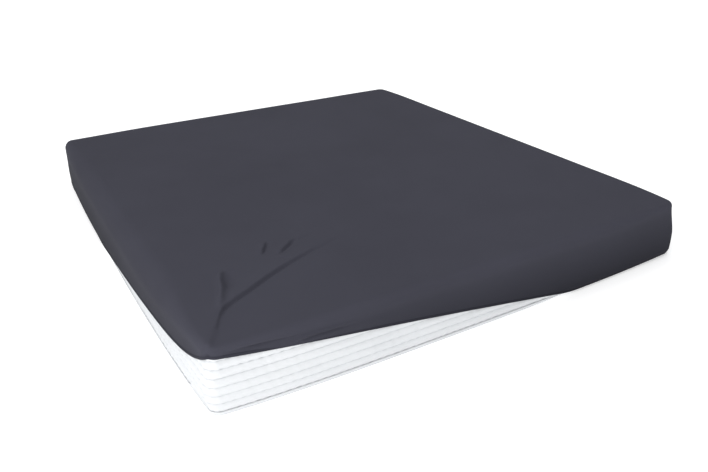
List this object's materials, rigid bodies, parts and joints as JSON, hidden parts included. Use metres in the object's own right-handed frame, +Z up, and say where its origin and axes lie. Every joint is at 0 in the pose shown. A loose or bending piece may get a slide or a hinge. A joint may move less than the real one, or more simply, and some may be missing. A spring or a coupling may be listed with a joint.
{
  "type": "pressure relief mattress",
  "caption": "Layered foam mattress in a zipped quilted casing, under a dark stretch cover that is pulled up at one corner.",
  "frame": {"origin": "on the floor under the middle of the mattress", "axes": "+Z up, +Y towards the head end, X across the bed; the pulled-up corner of the cover is at -X, -Y"},
  "size_m": [1.8084, 2.0084, 0.2173],
  "materials": {
    "cover_jersey": "matte",
    "elastic": "matte",
    "casing_quilt": "matte",
    "casing_base_cloth": "matte",
    "piping": "matte",
    "label": "matte",
    "zip_tape": "matte",
    "zip_coil": "satin",
    "zip_stop": "satin",
    "zip_metal": "satin",
    "bolster_foam": "matte",
    "support_foam": "matte",
    "transition_foam": "matte",
    "comfort_foam": "matte"
  },
  "bodies": {
    "core": {"casing_base": "casing_base_cloth", "zip_tape_lower": "zip_tape", "zip_coil_lower": "zip_coil", "zip_stop_lower": "zip_stop", "bolster_left": "bolster_foam", "bolster_right": "bolster_foam", "bolster_foot": "bolster_foam", "bolster_head": "bolster_foam", "support_foam": "support_foam", "transition_foam": "transition_foam", "comfort_heel": "comfort_foam", "comfort_legs": "comfort_foam", "comfort_seat": "comfort_foam", "comfort_back": "comfort_foam", "comfort_head": "comfort_foam"},
    "casing_top": {"casing_top_panel": "casing_quilt", "casing_border": "casing_quilt", "top_piping": "piping", "care_label": "label", "zip_tape_upper": "zip_tape", "zip_coil_upper": "zip_coil", "zip_stop_upper": "zip_stop"},
    "fitted_cover": {"cover_panel": "cover_jersey", "cover_skirt": "cover_jersey", "cover_hem": "cover_jersey", "hem_elastic": "elastic"},
    "zip_slider": {"zip_slider": "zip_metal"},
    "pull_tab": {"zip_pull_tab": "zip_metal"}
  },
  "joints": [
    {"name": "casing_lift", "type": "slide", "parent": "core", "child": "casing_top", "axis": [0, 0, 1], "range_m": [0, 0.28]},
    {"name": "cover_lift", "type": "slide", "parent": "casing_top", "child": "fitted_cover", "axis": [0, 0, 1], "range_m": [0, 0.3]},
    {"name": "zip_slide", "type": "slide", "parent": "core", "child": "zip_slider", "axis": [0, 1, 0], "range_m": [0, 1.82]},
    {"name": "pull_tab_swing", "type": "hinge", "parent": "zip_slider", "child": "pull_tab", "pos_m": [-0.8973, -0.91, 0.016], "axis": [0, 0, 1], "range_deg": [0, 175]}
  ]
}
